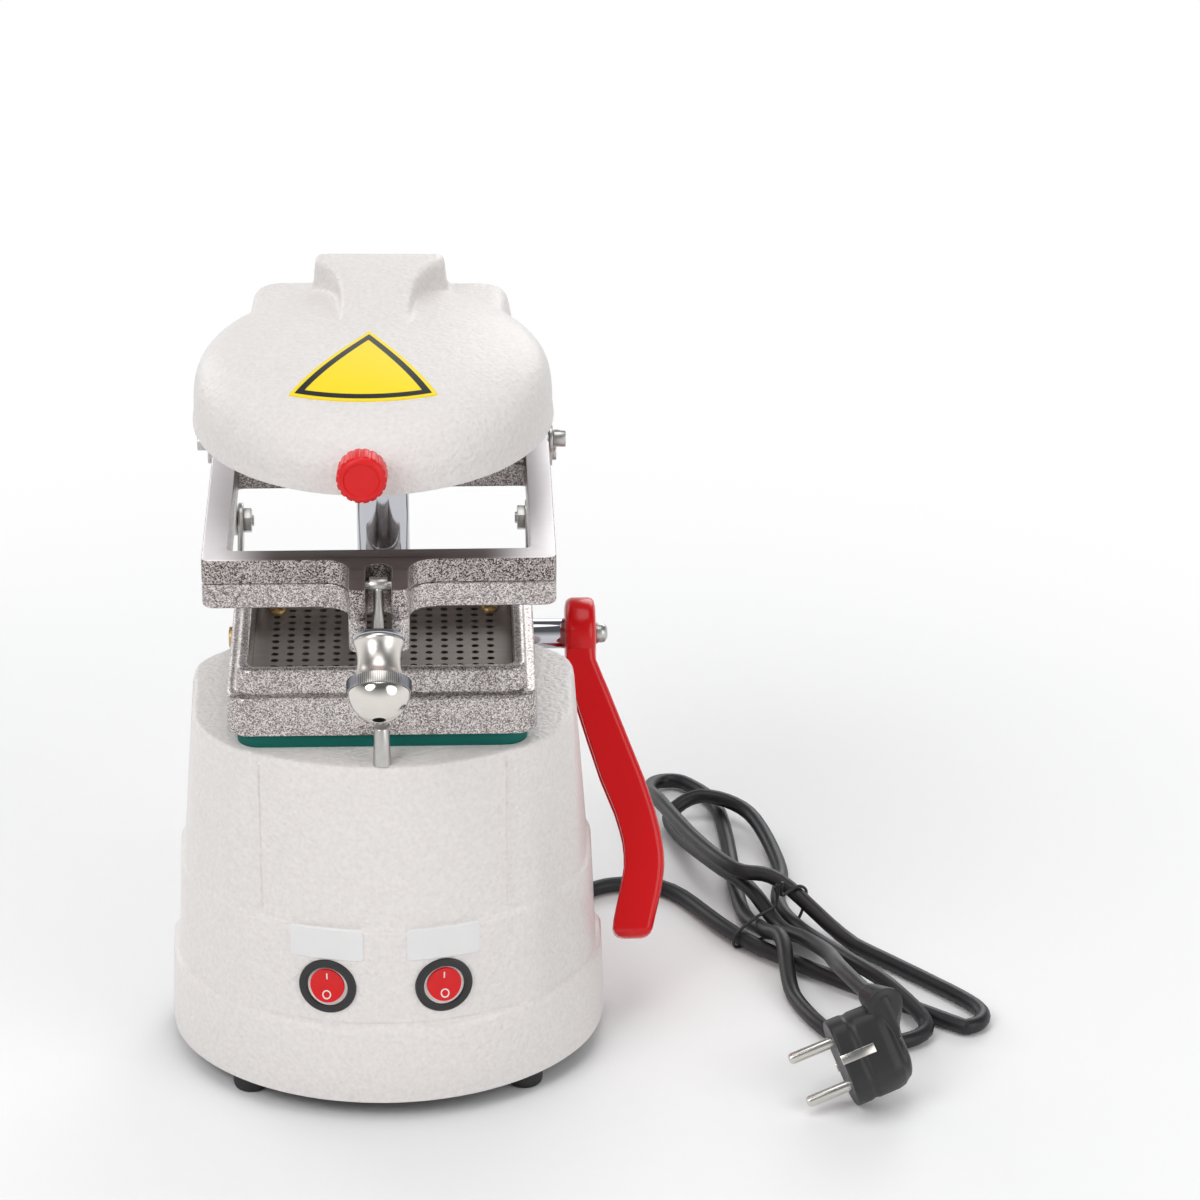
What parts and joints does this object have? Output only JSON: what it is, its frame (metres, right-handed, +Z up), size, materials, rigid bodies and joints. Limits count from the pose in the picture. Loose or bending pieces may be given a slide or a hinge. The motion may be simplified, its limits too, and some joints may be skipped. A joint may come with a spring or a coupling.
{
  "type": "dental vacuum former",
  "caption": "Bench vacuum former: cast base with perforated vacuum tray, lever-driven clamping sheet frame on a chrome column, swivelling heater head, mains cord and plug.",
  "frame": {"origin": "underside of the rear rubber foot, on the table under the rear end of the casing, in the symmetry plane", "axes": "+Z up along the column, -Y forward towards the switches and the latch knob, +X towards the lever's side"},
  "size_m": [0.3502, 0.3622, 0.318],
  "materials": {
    "enamel": "hammertone",
    "cast_nickel": "sparkling cast nickel",
    "machined": "machined",
    "zinc_steel": "satin",
    "chrome": "polished",
    "red_enamel": "gloss",
    "red_plastic": "gloss",
    "black_plastic": "satin",
    "white_plastic": "matte",
    "rubber": "matte",
    "gasket_rubber": "matte",
    "cord_sheath": "satin",
    "brass": "satin",
    "black_steel": "satin",
    "yellow_plate": "satin",
    "ceramic": "matte",
    "bright_aluminium": "bright"
  },
  "bodies": {
    "base": {"casing": "enamel", "base_plate": "black_steel", "base_screws": "zinc_steel", "feet": "rubber", "foot_screws": "zinc_steel", "column": "chrome", "detent_ball": "zinc_steel", "front_post": "zinc_steel", "gasket": "gasket_rubber", "vacuum_tray": "cast_nickel", "perforated_plate": "bright_aluminium", "tray_screws": "brass", "bezel_left": "black_plastic", "bezel_right": "black_plastic", "label_plates": "white_plastic", "rating_plate": "black_steel", "cord_gland": "black_plastic", "vacuum_motor": "black_steel", "motor_mount": "zinc_steel", "suction_duct": "black_plastic", "terminal_block": "white_plastic", "power_cord": "cord_sheath", "twist_tie": "black_steel", "plug_body": "black_plastic", "plug_pins": "brass", "earth_clips": "brass"},
    "shaft": {"cross_shaft": "chrome", "shaft_end_screw": "brass", "crank_left": "zinc_steel", "crank_right": "zinc_steel", "crank_bolts": "zinc_steel", "crank_nuts": "zinc_steel", "lever": "red_enamel", "lever_screw": "zinc_steel"},
    "carriage": {"carriage_frame": "cast_nickel", "guide_screw": "black_steel", "hinge_plates": "zinc_steel", "link_rivets": "zinc_steel"},
    "left_link": {"link_left": "zinc_steel"},
    "right_link": {"link_right": "zinc_steel"},
    "clamp_frame": {"upper_frame": "machined", "hinge_screws": "zinc_steel", "latch_pin": "zinc_steel"},
    "latch_bolt": {"swing_bolt": "zinc_steel"},
    "washer": {"latch_washer": "chrome"},
    "knob": {"ball_knob": "chrome"},
    "head": {"head_cover": "enamel", "head_reflector": "bright_aluminium", "heater_rods": "ceramic", "heater_holders": "zinc_steel", "head_collar": "zinc_steel", "head_screws": "zinc_steel", "head_knob": "red_plastic", "head_plaque": "yellow_plate"},
    "left_rocker": {"rocker_left": "red_plastic"},
    "right_rocker": {"rocker_right": "red_plastic"}
  },
  "joints": [
    {"name": "lever_turn", "type": "hinge", "parent": "base", "child": "shaft", "pos_m": [0, -0.0155, 0.1483], "axis": [1, 0, 0], "range_deg": [-32.6, 0]},
    {"name": "carriage_slide", "type": "slide", "parent": "base", "child": "carriage", "axis": [0, 0, 1], "range_m": [-0.0425, 0]},
    {"name": "left_link_turn", "type": "hinge", "parent": "carriage", "child": "left_link", "pos_m": [-0.0645, -0.0071, 0.2293], "axis": [1, 0, 0], "range_deg": [0, 20]},
    {"name": "right_link_turn", "type": "hinge", "parent": "carriage", "child": "right_link", "pos_m": [0.0645, -0.0071, 0.2293], "axis": [1, 0, 0], "range_deg": [0, 20]},
    {"name": "frame_open", "type": "hinge", "parent": "carriage", "child": "clamp_frame", "pos_m": [0, -0.0178, 0.2392], "axis": [-1, 0, 0], "range_deg": [0, 10]},
    {"name": "latch_swing", "type": "hinge", "parent": "clamp_frame", "child": "latch_bolt", "pos_m": [0, -0.1765, 0.2409], "axis": [-1, 0, 0], "range_deg": [0, 45]},
    {"name": "washer_slide", "type": "slide", "parent": "latch_bolt", "child": "washer", "axis": [0, -0.7193, -0.6947], "range_m": [0, 0.005]},
    {"name": "knob_turn", "type": "hinge", "parent": "washer", "child": "knob", "pos_m": [0, -0.1765, 0.2409], "axis": [0, -0.7193, -0.6947], "range_deg": [0, 1800]},
    {"name": "head_swivel", "type": "hinge", "parent": "base", "child": "head", "pos_m": [0, -0.0155, 0.285], "axis": [0, 0, 1], "range_deg": [-95, 95]},
    {"name": "left_rocker_tip", "type": "hinge", "parent": "base", "child": "left_rocker", "pos_m": [-0.02209, -0.16047, 0.0595], "axis": [0.9678, -0.2518, 0], "range_deg": [0, 12]},
    {"name": "right_rocker_tip", "type": "hinge", "parent": "base", "child": "right_rocker", "pos_m": [0.02209, -0.16047, 0.0595], "axis": [0.9678, 0.2518, 0], "range_deg": [0, 12]}
  ],
  "couplings": [
    {"joint": "carriage_slide", "follows": "lever_turn", "m_per_rad": 0.0747},
    {"joint": "left_link_turn", "follows": "lever_turn", "ratio": -0.6},
    {"joint": "right_link_turn", "follows": "lever_turn", "ratio": -0.6},
    {"joint": "washer_slide", "follows": "knob_turn", "m_per_rad": 0.0001592}
  ]
}
